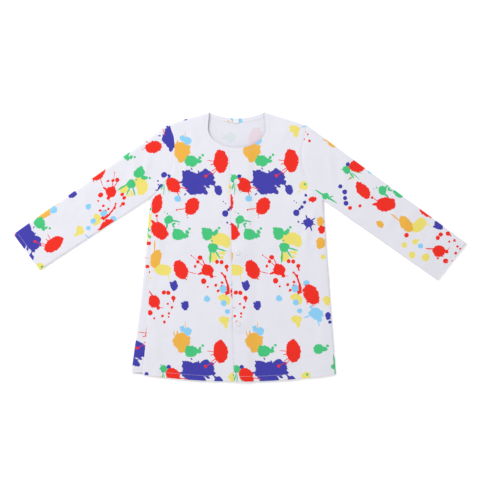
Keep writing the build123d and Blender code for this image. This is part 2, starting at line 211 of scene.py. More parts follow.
STREAKS = {
    "yellow": [
        (-56.5, 136, -60, 125, 2), (-38, -60, -37.5, -75, 1), (96, 124, 92, 117, 1.2),
    ],
    "orange": [
        (-18.9, 224, -18.9, 234, 1.6), (-25, 222, -27, 233, 1.3), (-1.8, 226, -1.5, 253, 0.8),
        (6, 214, 9, 222, 2), (-69.3, -9, -68.4, 13, 1.6),
    ],
    "cyan": [
        (114, -154, 100, -158, 1.4), (130, -162, 134, -176, 1.6),
    ],
    "green": [
        (-31, 58, -14, 54.8, 1.8), (-41.5, 52, -42.2, 41, 2.2), (-30, 51, -26, 42, 2),
        (54.5, -8, 53, -35, 2.3), (64, -8, 75, -26, 1.6), (66, -3.5, 88, -9.5, 1.7),
        (-50, 141, -54, 126, 1.7), (-44, 139, -36, 120, 1.3), (-50, 149, -56, 160, 1.3),
        (-43, 150, -33, 158, 1.1), (-41, 144, -30, 142, 1.1), (-48, 138, -49, 116, 1),
        (-126, 176, -121, 126, 2.2), (-123, 146, -113, 138, 1.5), (7, 32, 3, 28, 1.4),
    ],
    "blue": [
        (10.4, 174, 14, 169.6, 1.3), (-4, 142, -15.5, 141.2, 2.4), (1, 158.6, -7.5, 167.2, 3),
        (44, 134, 52, 130, 2.4), (-64.7, 133.8, -55.5, 130.6, 0.8), (30, 160, 26, 168, 1.5),
        (91, 80, 88, 76, 1.6), (112, 56, 107, 68, 1.7), (116, 54, 127, 61, 1.5), (112, 46, 106, 36, 1.6),
        (116, 47, 120, 33, 1.5), (107, 50, 97, 49, 1.4), (117, 50, 128, 47, 1.2), (0, 118, -4, 113, 1.6),
        (60, 136, 66, 132, 1.5),
    ],
    "red": [
        (64, 188, 47, 189.8, 0.9), (64, 183, 53.5, 180, 1), (66, 173, 56, 166.5, 1),
        (69, 170, 57.5, 159, 1), (57, 164, 44, 155.8, 0.6), (-14, 131.5, 3.5, 126.5, 1),
        (-21, 122, -15.5, 114, 1.1), (-17, 126, -12, 120, 1), (0, 84.5, -20.5, 80.9, 1),
        (7, 76, 1.3, 68.5, 1.3), (-66, 46, -76, 58, 3.4), (-64.2, 50, -63.8, 66, 0.9),
        (89.6, -46, 90.4, -54.5, 1.9), (43, -42, 35, -26, 1), (39, -43, 29, -35, 0.9),
        (27, -31, 11.4, -19.1, 0.6), (20.6, -40, 18.8, -47, 1.7), (54, -64.8, 67, -65.8, 0.8),
        (1, -55, 23, -59, 0.8), (-4, -66, 1.5, -73, 1.2), (-2, -62, 4, -67, 1), (79, -58.5, 87, -67.5, 1.8),
        (86, -66, 92.5, -88, 2), (-74, -110, -83, -93, 1.3), (-28, -112, -27.4, -121.5, 1.8),
        (-30.2, -131, -32, -137, 1.6), (-62, -134, -49.5, -134.4, 0.7), (118, -124, 122, -134, 1.2),
        (110, -118, 107, -128, 1), (128, -118, 134, -128, 1), (-60, 108, -55.5, 115, 1.6),
    ],
}
# Where each panel was cut: a point on it, the same point in the print, the turn, and how far a step on
# the panel goes across and along the print, which is negative where it is seen reversed.
PRINT_PLACES = {
    "right_front": (0, 0, 118.8, 0, 0, 1, 1),
    "left_front": (0, -7, -38.5, -7, -0.7, 1, 1),
    "right_sleeve": (-270, 101, 74.8, -51.2, 56, 1.15, 1.06),
    "left_sleeve": (436.5, -10, -71.5, -119.4, -53.1, 1, 1),
    "back": (0, 0, 112, -48.8, 0, -1, 1),
    "back_neck": (0, 0, 7, -44, 0, 1, 1),
    "right_side": (0, 0, 268, 378, 0, 1, 1),
}

# Creases: two ends, height and half width of each soft ridge pressed into the cloth
FRONT_RIDGES = [
    (-163, 132, -118, 96, 1.3, 7), (-172, 104, -140, 40, 1.2, 8), (-150, 210, -138, 150, 1.0, 5),
    (-184, 60, -176, -60, 1.0, 8), (-196, -120, -180, -270, 1.1, 9), (-120, -180, -112, -288, 0.8, 10),
    (160, 118, 118, 92, 1.3, 7), (166, 92, 150, 20, 1.5, 7), (147, 70, 143, -20, 1.7, 6),
    (172, 10, 180, -110, 1.0, 8), (178, -150, 186, -272, 1.1, 9), (128, 226, 132, 160, 1.0, 5),
    (96, -190, 104, -286, 0.8, 10), (-110, 262, -92, 214, 0.7, 8), (100, 262, 86, 214, 0.7, 8),
    (-140, 20, -100, 0, 0.6, 9), (120, 30, 86, 10, 0.6, 9), (-64, -230, -60, -288, 0.7, 9),
]
RIGHT_SLEEVE_RIDGES = [
    (-196, 214, -214, 142, 1.5, 7), (-232, 196, -240, 120, 1.2, 8), (-300, 150, -268, 92, 0.8, 9),
    (-352, 120, -322, 52, 1.2, 7), (-376, 92, -356, 34, 0.9, 7), (-440, 60, -404, -10, 0.7, 9),
    (-250, 170, -330, 112, 0.9, 8),
]
LEFT_SLEEVE_RIDGES = [
    (192, 214, 206, 140, 1.5, 7), (228, 192, 232, 116, 1.2, 8), (300, 140, 266, 80, 0.8, 9),
    (350, 104, 322, 34, 1.2, 7), (380, 84, 348, 20, 0.9, 7), (436, 46, 402, -30, 0.7, 9),
    (250, 160, 330, 100, 0.9, 8),
]


# Curves in plan ---------------------------------------------------------------------------------


def run_lengths(points):
    """How far along a polyline each of its points is."""
    return np.concatenate([[0], np.cumsum(np.linalg.norm(np.diff(points, axis=0), axis=1))])


def shares(points, count):
    """That many points, evenly spaced along a polyline."""
    p = np.asarray(points, float)
    reach = run_lengths(p)
    at = np.linspace(0, reach[-1], count)
    return np.column_stack([np.interp(at, reach, p[:, 0]), np.interp(at, reach, p[:, 1])])


def along(points, step):
    """Points about a step apart on a polyline, with both its ends."""
    length = run_lengths(np.asarray(points, float))[-1]
    return shares(points, max(2, int(round(length / step)) + 1))


def arc(start, middle, end, count=160):
    """The circle's arc through three points."""
    (ax, ay), (bx, by), (cx, cy) = start, middle, end
    d = 2 * (ax * (by - cy) + bx * (cy - ay) + cx * (ay - by))
    a2, b2, c2 = ax * ax + ay * ay, bx * bx + by * by, cx * cx + cy * cy
    ux = (a2 * (by - cy) + b2 * (cy - ay) + c2 * (ay - by)) / d
    uy = (a2 * (cx - bx) + b2 * (ax - cx) + c2 * (bx - ax)) / d
    angles = np.unwrap([math.atan2(y - uy, x - ux) for x, y in (start, middle, end)])
    t = np.linspace(angles[0], angles[2], count)
    radius = math.hypot(ax - ux, ay - uy)
    return np.column_stack([ux + radius * np.cos(t), uy + radius * np.sin(t)])


def spline(points, count=200):
    """A smooth curve through the points."""
    p = np.asarray(points, float)
    t = run_lengths(p)
    h = np.diff(t)
    n = len(p)
    system, right = np.eye(n), np.zeros((n, 2))
    for i in range(1, n - 1):
        system[i, i - 1 : i + 2] = h[i - 1], 2 * (h[i - 1] + h[i]), h[i]
        right[i] = 6 * ((p[i + 1] - p[i]) / h[i] - (p[i] - p[i - 1]) / h[i - 1])
    m = np.linalg.solve(system, right)
    out = []
    for s in np.linspace(0, t[-1], count):
        i = min(n - 2, int(np.searchsorted(t, s, side="right")) - 1)
        a, b = t[i + 1] - s, s - t[i]
        cubic = (m[i] * a**3 + m[i + 1] * b**3) / (6 * h[i])
        out.append(cubic + (p[i] / h[i] - m[i] * h[i] / 6) * a + (p[i + 1] / h[i] - m[i + 1] * h[i] / 6) * b)
    return np.array(out)


def neck_curve(wider=0.0, inset=0.0):
    """The front neckline from the right neck point to the left one, widened all round."""
    half, drop, top = NECK_HALF + wider, NECK_DROP + wider, NECK_POINT_HALF + wider
    turn = np.linspace(math.pi, 2 * math.pi, 181)
    bowl = np.column_stack([CENTRE_X + half * np.cos(turn), NECK_WIDEST_Y + drop * np.sin(turn)])
    lower = NECK_POINT_Y - 0.33 * wider - inset
    return np.vstack([[(CENTRE_X - top, lower)], bowl, [(CENTRE_X + top, lower)]])


def cut_at(points, x, keep_right):
    """The part of a left-to-right polyline on one side of x, ending exactly at x."""
    p = np.asarray(points, float)
    low = [q for q in p if q[1] < NECK_WIDEST_Y + 1]
    y = np.interp(x, [q[0] for q in low], [q[1] for q in low])
    kept = [q for q in p if (q[0] > x + 0.5 if keep_right else q[0] < x - 0.5)]
    return np.array([(x, y), *kept] if keep_right else [*kept, (x, y)])


def between(line, x0, x1, count=60):
    """The part of a line across the body from x0 to x1."""
    x = np.linspace(x0, x1, count)
    order = np.argsort(line[:, 0])
    return np.column_stack([x, np.interp(x, line[order, 0], line[order, 1])])


armhole_right = spline([SHOULDER_RIGHT, *ARMHOLE_RIGHT, UNDERARM_RIGHT])
armhole_left = spline([SHOULDER_LEFT, *ARMHOLE_LEFT, UNDERARM_LEFT])
side_right = arc(UNDERARM_RIGHT, SIDE_MIDDLE_RIGHT, HEM_RIGHT)
side_left = arc(UNDERARM_LEFT, SIDE_MIDDLE_LEFT, HEM_LEFT)
seam_right = arc(UNDERARM_RIGHT, SEAM_MIDDLE_RIGHT, SEAM_HEM_RIGHT)
hem = arc(HEM_RIGHT, HEM_MIDDLE, HEM_LEFT)
NECK_RIGHT = (CENTRE_X - NECK_POINT_HALF, NECK_POINT_Y)
NECK_LEFT = (CENTRE_X + NECK_POINT_HALF, NECK_POINT_Y)
back_neck = arc(NECK_RIGHT, (CENTRE_X, BACK_NECK_Y), NECK_LEFT)
shoulder_right = np.array([NECK_RIGHT, SHOULDER_RIGHT])
shoulder_left = np.array([NECK_LEFT, SHOULDER_LEFT])
# Each sleeve's armhole, cuff, creases and noise seed
SLEEVES = {
    "left": (armhole_left, CUFF_LEFT, LEFT_SLEEVE_RIDGES, 21.5),
    "right": (armhole_right, CUFF_RIGHT, RIGHT_SLEEVE_RIDGES, 33.5),
}


def lap_x(y):
    """The left front's free edge at height y."""
    return np.interp(y, [HEM_MIDDLE[1], NECK_WIDEST_Y - NECK_DROP], [LAP_HEM_X, LAP_TOP_X])


# Heights ----------------------------------------------------------------------------------------


def distance(points, line):
    """How far each point is from a polyline."""
    p, line = np.asarray(points, float), np.asarray(line, float)
    best = np.full(len(p), 1e9)
    for a, b in zip(line[:-1], line[1:]):
        d = b - a
        t = np.clip(((p - a) @ d) / max(d @ d, 1e-9), 0, 1)
        best = np.minimum(best, np.linalg.norm(p - a - t[:, None] * d, axis=1))
    return best


def smooth(value, low, high):
    """0 up to low and 1 from high on, with a smooth step between."""
    t = np.clip((value - low) / (high - low), 0, 1)
    return t * t * (3 - 2 * t)


def rolled(d, reach=EDGE_ROLL):
    """0 well inside a rolled edge and 1 on it, along a quarter of an ellipse."""
    t = 1 - np.clip(d / reach, 0, 1)
    return 1 - np.sqrt(np.clip(1 - t * t, 0, 1))


def waves(points, size, seed):
    """Soft unevenness from about -1 to 1, of that size."""
    return np.array([2 * noise.noise(Vector((x / size, y / size, seed))) for x, y in points])


def uneven(points, layers, seed=0.0):
    """Several sizes of unevenness together."""
    return sum(height * waves(points, size, seed + offset) for height, size, offset in layers)


def ridges(points, lines):
    """The height of all the pressed creases at each point."""
    p = np.asarray(points, float)
    total = np.zeros(len(p))
    for x0, y0, x1, y1, height, width in lines:
        a, d = np.array((x0, y0)), np.array((x1 - x0, y1 - y0))
        t = ((p - a) @ d) / (d @ d)
        side = np.abs((p[:, 0] - x0) * d[1] - (p[:, 1] - y0) * d[0]) / np.linalg.norm(d)
        taper = smooth(t, -0.1, 0.35) * (1 - smooth(t, 0.6, 1.1))
        total += height * taper * np.exp(-((side / width) ** 2))
    return total


def snap_calm(points):
    """1 at the fasteners, 0 away from them."""
    p = np.asarray(points, float)
    near = np.full(len(p), 1e9)
    for x, y in SNAPS:
        near = np.minimum(near, np.hypot(p[:, 0] - x, p[:, 1] - y))
    return 1 - smooth(near, SNAP_FLAT, SNAP_SPREAD)


def front_relief(points):
    """What the front layer stands above or below its level, calm along the fold lines."""
    p = np.asarray(points, float)
    from_fold = np.minimum(np.abs(p[:, 0] - FOLD_LEFT), np.abs(p[:, 0] - FOLD_RIGHT))
    calm = 1 - 0.85 * (1 - smooth(from_fold, 4, 22))
    free = calm * (1 - snap_calm(p))
    middle = smooth(np.abs(p[:, 0] - CENTRE_X), 20, 45)
    across = np.column_stack([p[:, 0], np.zeros(len(p))])
    bottom = -0.9 * smooth(-p[:, 1], 225, 290) * (0.6 + waves(across, 38, 3.3))
    relief = ridges(p, FRONT_RIDGES) + uneven(p, FRONT_UNEVEN) * (0.35 + 0.65 * middle) + bottom * middle
    return free * relief


def front_mid(points):
    """The middle of the front cloth, between the rolled side and shoulder edges."""
    p = np.asarray(points, float)
    drop = np.zeros(len(p))
    for edge in (side_right, side_left, shoulder_right, shoulder_left):
        drop = np.maximum(drop, rolled(distance(p, edge)))
    armhole = np.minimum(distance(p, armhole_right), distance(p, armhole_left))
    seam = 0.75 * np.exp(-((armhole / 1.8) ** 2)) + 0.6 * np.exp(-((distance(p, seam_right) / 1.5) ** 2))
    return FRONT_MID - TUBE_HALF * drop + (front_relief(p) - seam) * (1 - drop)


def left_mid(points):
    """The left front, which rises over the right front's edge."""
    p = np.asarray(points, float)
    ramp = 1 - smooth(p[:, 0], RAMP_INNER, RAMP_OUTER)
    return front_mid(p) + ramp * (LAP_LOW + (LAP_HIGH - LAP_LOW) * snap_calm(p))


def back_mid(points):
    """The back cloth, which lies on the table and rises only to its side and shoulder seams."""
    p = np.asarray(points, float)
    rise = np.zeros(len(p))
    for edge in (side_left, shoulder_right, shoulder_left):
        rise = np.maximum(rise, rolled(distance(p, edge)))
    lift = 0.35 * np.clip(waves(p, 52, 12.2) + 0.3, 0, 1) + 0.15 * np.clip(waves(p, 15, 2.2), 0, 1)
    return BACK_MID + lift * (1 - rise) + (TUBE_HALF - 0.35) * rise


# Meshes -----------------------------------------------------------------------------------------


def print_place(points, panel):
    """Where each point of a panel lies in the print."""
    x0, y0, print_x, print_y, turn, across, along_it = PRINT_PLACES[panel]
    p = np.asarray(points, float) - (x0, y0)
    c, s = math.cos(math.radians(turn)), math.sin(math.radians(turn))
    x, y = c * p[:, 0] - s * p[:, 1], s * p[:, 0] + c * p[:, 1]
    return np.column_stack([print_x + across * x, print_y + along_it * y])


def inside(points, loop):
    """Which points are inside a closed loop."""
    p = np.asarray(points, float)
    found = np.zeros(len(p), bool)
    for (x0, y0), (x1, y1) in zip(loop, np.roll(loop, -1, axis=0)):
        if y0 == y1:
            continue
        crosses = (p[:, 1] < y0) != (p[:, 1] < y1)
        found ^= crosses & (p[:, 0] < x0 + (p[:, 1] - y0) * (x1 - x0) / (y1 - y0))
    return found


ROW_SHARE = 0.866  # the height of a triangle with equal sides, as a share of a side


def filled(edges, step=3.0, grid=4.6, rings=(0.8, 2.0, 3.6, 5.6)):
    """Triangles inside a closed run of edges: points, faces, and each edge's own point numbers."""
    loop, ranges = [], []
    for edge in edges:
        part = along(edge, step)
        ranges.append((len(loop), len(part)))
        loop += [tuple(q) for q in part[:-1]]
    ranges = [[(start + k) % len(loop) for k in range(count)] for start, count in ranges]
    loop = np.array(loop)
    area = np.sum(loop[:, 0] * np.roll(loop[:, 1], -1) - np.roll(loop[:, 0], -1) * loop[:, 1])
    tangent = np.roll(loop, -1, axis=0) - np.roll(loop, 1, axis=0)
    normal = np.column_stack([-tangent[:, 1], tangent[:, 0]]) * np.sign(area)
    normal /= np.linalg.norm(normal, axis=1)[:, None]
    closed = np.vstack([loop, loop[:1]])
    inner = []
    for ring in rings:
        q = loop + normal * ring
        inner.append(q[inside(q, loop) & (distance(q, closed) > ring * 0.9)])
    low, high = loop.min(0), loop.max(0)
    columns = range(int((high[0] - low[0]) / grid) + 1)
    rows = np.arange(low[1], high[1], grid * ROW_SHARE)
    q = np.array([(low[0] + (i + 0.5 * (j % 2)) * grid, y) for j, y in enumerate(rows) for i in columns])
    q = q[inside(q, loop)]
    inner.append(q[distance(q, closed) > rings[-1] + grid * 0.45])
    points = [Vector(v) for v in np.vstack([loop, *inner])]
    result = geometry.delaunay_2d_cdt(points, [], [list(range(len(loop)))], 1, 1e-5)
    flat, faces, origins = result[0], result[2], result[3]
    number = {o: i for i, found in enumerate(origins) for o in found}
    ranges = [[number[i] for i in r] for r in ranges]
    return np.array([tuple(v) for v in flat]), [tuple(f) for f in faces], ranges


class Cloth:
    """A sheet being made: its middle surface's points in plan, heights, print places and faces."""

    def __init__(self, points, heights, places, faces):
        self.points, self.heights = [tuple(p) for p in points], list(heights)
        self.places, self.faces = [tuple(p) for p in places], [tuple(f) for f in faces]

    def strip(self, edge, rows):
        """Carries the sheet on past an edge, over rows of (points, heights, places)."""
        last = list(edge)
        for points, heights, places in rows:
            start = len(self.points)
            self.points += [tuple(p) for p in points]
            self.heights += list(heights)
            self.places += [tuple(p) for p in places]
            new = list(range(start, start + len(points)))
            self.faces += [(last[i], last[i + 1], new[i + 1], new[i]) for i in range(len(new) - 1)]
            last = new

    def piece(self, name, thickness, materials, outer_up=True, crisp=50):
        """The sheet as an object with thickness: its first material outside, its second inside."""
        mesh = bpy.data.meshes.new(name)
        verts = [(x * MM, y * MM, z * MM) for (x, y), z in zip(self.points, self.heights)]
        mesh.from_pydata(verts, [], self.faces)
        made = bmesh.new()
        made.from_mesh(mesh)
        bmesh.ops.recalc_face_normals(made, faces=made.faces)
        made.faces.ensure_lookup_table()
        if (made.faces[0].normal.z > 0) != outer_up:
            bmesh.ops.reverse_faces(made, faces=made.faces)
        uv = made.loops.layers.uv.new("print")
        for face in made.faces:
            face.smooth = True
            for loop in face.loops:
                x, y = self.places[loop.vert.index]
                loop[uv].uv = (x * MM, y * MM)
        made.to_mesh(mesh)
        made.free()
        obj = bpy.data.objects.new(name, mesh)
        bpy.context.scene.collection.objects.link(obj)
        for material in materials:
            mesh.materials.append(material)
        shell = obj.modifiers.new("thickness", "SOLIDIFY")
        shell.thickness, shell.offset = thickness * MM, 0.0
        shell.material_offset = 1 if len(materials) > 1 else 0
        return settled(obj, crisp)


def settled(obj, crisp):
    """The object with its modifiers' result as its mesh."""
    graph = bpy.context.evaluated_depsgraph_get()
    mesh = bpy.data.meshes.new_from_object(obj.evaluated_get(graph), depsgraph=graph)
    obj.modifiers.clear()
    obj.data = mesh
    mesh.set_sharp_from_angle(angle=math.radians(crisp))
    return obj


def turn_up(cloth, edge, mid, ways, panel, side):
    """A hem: the cloth folds over at an edge and lies on its inner side, which is below it if side is -1."""
    base = np.array([cloth.points[i] for i in edge])
    share = np.linspace(0, 1, len(edge))[:, None]
    way = np.array(ways[0]) * (1 - share) + np.array(ways[1]) * share
    way /= np.linalg.norm(way, axis=1)[:, None]
    start = np.array([cloth.heights[i] for i in edge])
    places = print_place(base, panel)
    outward = print_place(base - way, panel) - places
    rows = []
    for angle in (45, 90, 135):
        a = math.radians(angle)
        out, fall = math.sin(a) * HEM_FOLD / 2, (1 - math.cos(a)) * HEM_FOLD / 2
        rows.append((base - way * out, start + side * fall, places + outward * out))
    for reach in (0.3, HEM_DEPTH * 0.33, HEM_DEPTH * 0.66, HEM_DEPTH):
        p = base + way * reach
        rows.append((p, mid(p) + side * HEM_FOLD, places + outward * (reach + 1)))
    cloth.strip(edge, rows)


def unit(start, end):
    """The direction from one point to another."""
    d = np.array(end, float) - np.array(start, float)
    return d / np.linalg.norm(d)


# Materials --------------------------------------------------------------------------------------


def link(tree, target, value):
    """Gives a socket another node's output or a plain value."""
    if hasattr(value, "is_output"):
        tree.links.new(value, target)
    else:
        target.default_value = value


def math_node(tree, operation, *values, clamp=False):
    node = tree.nodes.new("ShaderNodeMath")
    node.operation, node.use_clamp = operation, clamp
    for socket, value in zip(node.inputs, values):
        link(tree, socket, value)
    return node.outputs[0]


def vector_node(tree, operation, *values):
    node = tree.nodes.new("ShaderNodeVectorMath")
    node.operation = operation
    for socket, value in zip(node.inputs, values):
        link(tree, socket, value)
    return node.outputs["Value" if operation == "DOT_PRODUCT" else "Vector"]


def noise_node(tree, where, scale, detail=2.0):
    node = tree.nodes.new("ShaderNodeTexNoise")
    node.inputs["Scale"].default_value, node.inputs["Detail"].default_value = scale, detail
    tree.links.new(where, node.inputs["Vector"])
    return node


def mix_colour(tree, share, first, second):
    """A mix of two colours, the second one's share being given."""
    node = tree.nodes.new("ShaderNodeMix")
    node.data_type = "RGBA"
    link(tree, node.inputs["Factor"], share)
    link(tree, node.inputs[6], first)
    link(tree, node.inputs[7], second)
    return node.outputs[2]


def tiled(x, y, reach):
    """The places where a shape shows in the tile, counting the tile's neighbours."""
    width, height = TILE[1] - TILE[0], TILE[3] - TILE[2]
    for i in (-1, 0, 1):
        for j in (-1, 0, 1):
            px, py = x + i * width, y + j * height
            if TILE[0] - reach < px < TILE[1] + reach and TILE[2] - reach < py < TILE[3] + reach:
                yield px, py


def ellipse_distance(tree, where, best, x, y, half_width, half_height, lean):
    """How near a place is to an ellipse, squared, 1 being its edge, or to the nearest one yet."""
    c, s = math.cos(math.radians(lean)), math.sin(math.radians(lean))
    first = (c / half_width, s / half_width, -(c * x + s * y) / half_width)
    second = (-s / half_height, c / half_height, (s * x - c * y) / half_height)
    u = vector_node(tree, "DOT_PRODUCT", where, first)
    size = math_node(tree, "MULTIPLY", u, u)
    v = vector_node(tree, "DOT_PRODUCT", where, second)
    size = math_node(tree, "MULTIPLY_ADD", v, v, size)
    return size if best is None else math_node(tree, "MINIMUM", best, size)


def ink_mask(tree, ink, rough, calm):
    """Where one ink is printed: its blobs have uneven edges, its drops and streaks cleaner ones."""
    best = None
    for x, y, a, b, lean in BLOBS[ink]:
        for px, py in tiled(x, y, max(a, b) + 5):
            best = ellipse_distance(tree, rough, best, px, py, a * SWELL, b * SWELL, lean)
    for x, y, radius in DROPS.get(ink, []):
        for px, py in tiled(x, y, radius + 3):
            best = ellipse_distance(tree, calm, best, px, py, radius * SWELL, radius * SWELL, 0)
    for x0, y0, x1, y1, width in STREAKS[ink]:
        half = math.hypot(x1 - x0, y1 - y0) / 2
        lean = math.degrees(math.atan2(y1 - y0, x1 - x0))
        for px, py in tiled((x0 + x1) / 2, (y0 + y1) / 2, half + 3):
            best = ellipse_distance(tree, calm, best, px, py, half * 1.15, width, lean)
    return math_node(tree, "MULTIPLY_ADD", best, -7.0, 7.5, clamp=True)


def print_group():
    """The print as a node group: from a place in it, in metres, and the cloth's colour to the print's."""
    tree = bpy.data.node_groups.new("splash_print", "ShaderNodeTree")
    tree.interface.new_socket("Place", in_out="INPUT", socket_type="NodeSocketVector")
    tree.interface.new_socket("Cloth", in_out="INPUT", socket_type="NodeSocketColor")
    tree.interface.new_socket("Color", in_out="OUTPUT", socket_type="NodeSocketColor")
    given = tree.nodes.new("NodeGroupInput")
    place = vector_node(tree, "MULTIPLY", given.outputs["Place"], (1000, 1000, 0))
    low = (TILE[0], TILE[2], -1.0)
    high = (TILE[1], TILE[3], 1.0)
    middle = (0.5, 0.5, 0.5)
    coarse = vector_node(tree, "SUBTRACT", noise_node(tree, place, 0.1, 3.0).outputs["Color"], middle)
    fine = vector_node(tree, "SUBTRACT", noise_node(tree, place, 0.33, 2.0).outputs["Color"], middle)
    drift = vector_node(tree, "MULTIPLY", coarse, (9, 9, 0))
    jag = vector_node(tree, "MULTIPLY", fine, (5, 5, 0))
    bend = vector_node(tree, "MULTIPLY", coarse, (3, 3, 0))
    rough = vector_node(tree, "ADD", vector_node(tree, "ADD", place, drift), jag)
    calm = vector_node(tree, "ADD", place, bend)
    level = (0, 0, 1)  # lets a dot product add a constant
    rough = vector_node(tree, "ADD", vector_node(tree, "WRAP", rough, high, low), level)
    calm = vector_node(tree, "ADD", vector_node(tree, "WRAP", calm, high, low), level)
    colour = given.outputs["Cloth"]
    for ink, value in INKS.items():
        colour = mix_colour(tree, ink_mask(tree, ink, rough, calm), colour, (*value, 1))
    result = tree.nodes.new("NodeGroupOutput")
    tree.links.new(colour, result.inputs["Color"])
    return tree


def new_material(name, roughness, sheen=0.0, specular=0.5):
    material = bpy.data.materials.new(name)
    material.use_nodes = True
    shader = material.node_tree.nodes["Principled BSDF"]
    shader.inputs["Roughness"].default_value = roughness
    shader.inputs["Specular IOR Level"].default_value = specular
    shader.inputs["Sheen Weight"].default_value = sheen
    shader.inputs["Sheen Roughness"].default_value = 0.5
    return material, material.node_tree, shader


def weave_bump(tree, place, shader, period, strength):
    """Over-and-under threads in a plain weave, as fine relief."""
    split = tree.nodes.new("ShaderNodeSeparateXYZ")
    tree.links.new(place, split.inputs[0])
    turn = 2 * math.pi / (period * MM)
    across = math_node(tree, "SINE", math_node(tree, "MULTIPLY", split.outputs[0], turn))
    down = math_node(tree, "SINE", math_node(tree, "MULTIPLY", split.outputs[1], turn))
    slub = noise_node(tree, place, 900.0).outputs["Fac"]
    height = math_node(tree, "ADD", math_node(tree, "MULTIPLY", across, down), slub)
    bump = tree.nodes.new("ShaderNodeBump")
    bump.inputs["Strength"].default_value, bump.inputs["Distance"].default_value = strength, 0.0001
    tree.links.new(height, bump.inputs["Height"])
    tree.links.new(bump.outputs[0], shader.inputs["Normal"])


def cloth_material(name, ground, ink_share, patches):
    """Printed cloth. On its inner side the ink only shows faintly through."""
    material, tree, shader = new_material(name, 0.72, sheen=0.05, specular=0.22)
    uv = tree.nodes.new("ShaderNodeUVMap")
    uv.uv_map = "print"
    place = uv.outputs[0]
    cloudy = noise_node(tree, place, patches, 3.0).outputs["Fac"]
    cool = tuple(c * k for c, k in zip(ground, (0.955, 0.96, 0.985)))
    cloth = mix_colour(tree, cloudy, (*ground, 1), (*cool, 1))
    printed = tree.nodes.new("ShaderNodeGroup")
    printed.node_tree = bpy.data.node_groups["splash_print"]
    tree.links.new(place, printed.inputs["Place"])
    tree.links.new(cloth, printed.inputs["Cloth"])
    colour = printed.outputs["Color"]
    if ink_share < 1:
        colour = mix_colour(tree, ink_share, cloth, colour)
    speck = noise_node(tree, place, 420.0, 2.0).outputs["Fac"]
    colour = mix_colour(tree, math_node(tree, "MULTIPLY", speck, 0.012), colour, (1, 1, 1, 1))
    tree.links.new(colour, shader.inputs["Base Color"])
    dull = math_node(tree, "MULTIPLY_ADD", cloudy, 0.14, 0.64)
    tree.links.new(dull, shader.inputs["Roughness"])
    weave_bump(tree, place, shader, 0.62, 0.35)
    return material


def plain_material(name, colour, roughness, grain, depth, sheen=0.0, coat=0.0):
    """One colour that varies a little, with fine relief."""
    material, tree, shader = new_material(name, roughness, sheen)
    shader.inputs["Coat Weight"].default_value = coat
    where = tree.nodes.new("ShaderNodeTexCoord").outputs["Object"]
    patchy = noise_node(tree, where, grain / 6).outputs["Fac"]
    darker = tuple(c * 0.93 for c in colour)
    dull = math_node(tree, "MULTIPLY_ADD", patchy, 0.12, roughness - 0.06)
    tree.links.new(mix_colour(tree, patchy, (*colour, 1), (*darker, 1)), shader.inputs["Base Color"])
    tree.links.new(dull, shader.inputs["Roughness"])
    bump = tree.nodes.new("ShaderNodeBump")
    bump.inputs["Strength"].default_value, bump.inputs["Distance"].default_value = depth, 0.0001
    tree.links.new(noise_node(tree, where, grain).outputs["Fac"], bump.inputs["Height"])
    tree.links.new(bump.outputs[0], shader.inputs["Normal"])
    return material


def label_material():
    """Ribbed white tape."""
    material, tree, shader = new_material("label_tape", 0.55, sheen=0.1)
    uv = tree.nodes.new("ShaderNodeUVMap")
    uv.uv_map = "print"
    fleck = noise_node(tree, uv.outputs[0], 800.0).outputs["Fac"]
    colour = mix_colour(tree, fleck, (0.86, 0.87, 0.87, 1), (0.78, 0.79, 0.80, 1))
    tree.links.new(colour, shader.inputs["Base Color"])
    weave_bump(tree, uv.outputs[0], shader, 0.4, 0.5)
    return material


print_group()
printed = cloth_material("printed_cloth", CLOTH_WHITE, 1.0, 14.0)
reverse = cloth_material("cloth_reverse", INSIDE_WHITE, 0.13, 17.0)
thread = plain_material("sewing_thread", (0.77, 0.77, 0.83), 0.6, 2500.0, 0.4, sheen=0.2)
plastic = plain_material("snap_plastic", (0.80, 0.80, 0.83), 0.3, 300.0, 0.08, coat=0.25)
tape = label_material()
CLOTH_SIDES = [printed, reverse]


# Cloth panels -----------------------------------------------------------------------------------


def body_panel(edges, hem_index, mid, panel, ways, hem_side=-1):
    """A flat panel with a turned-up hem, and its edges' point numbers."""
    points, faces, ranges = filled(edges)
    cloth = Cloth(points, mid(points), print_place(points, panel), faces)
    turn_up(cloth, ranges[hem_index], mid, ways, panel, hem_side)
    return cloth, ranges


def make_left_front():
    """The left front, whose free edge laps over the right one."""
    neck = cut_at(neck_curve(), LAP_TOP_X, True)[::-1]
    top, low = neck[-1], between(hem, LAP_HEM_X, HEM_LEFT[0])
    edges = [neck, [top, low[0]], low, side_left[::-1], armhole_left[::-1], shoulder_left[::-1]]
    ways = unit(low[0], top), unit(HEM_LEFT, SIDE_MIDDLE_LEFT)
    return body_panel(edges, 2, left_mid, "left_front", ways)[0].piece("left_front_cloth", CLOTH, CLOTH_SIDES)


def make_right_front():
    """The right front, from its free edge under the left one to the side seam."""
    neck = cut_at(neck_curve(), UNDER_X, False)
    low = between(hem, SEAM_HEM_RIGHT[0], UNDER_X)[::-1]
    edges = [neck, [neck[-1], low[0]], low, seam_right[::-1], armhole_right[::-1], shoulder_right[::-1]]
    ways = unit(low[0], neck[-1]), unit(SEAM_HEM_RIGHT, SEAM_MIDDLE_RIGHT)
    cloth = body_panel(edges, 2, front_mid, "right_front", ways)[0]
    return cloth.piece("right_front_cloth", CLOTH, CLOTH_SIDES)


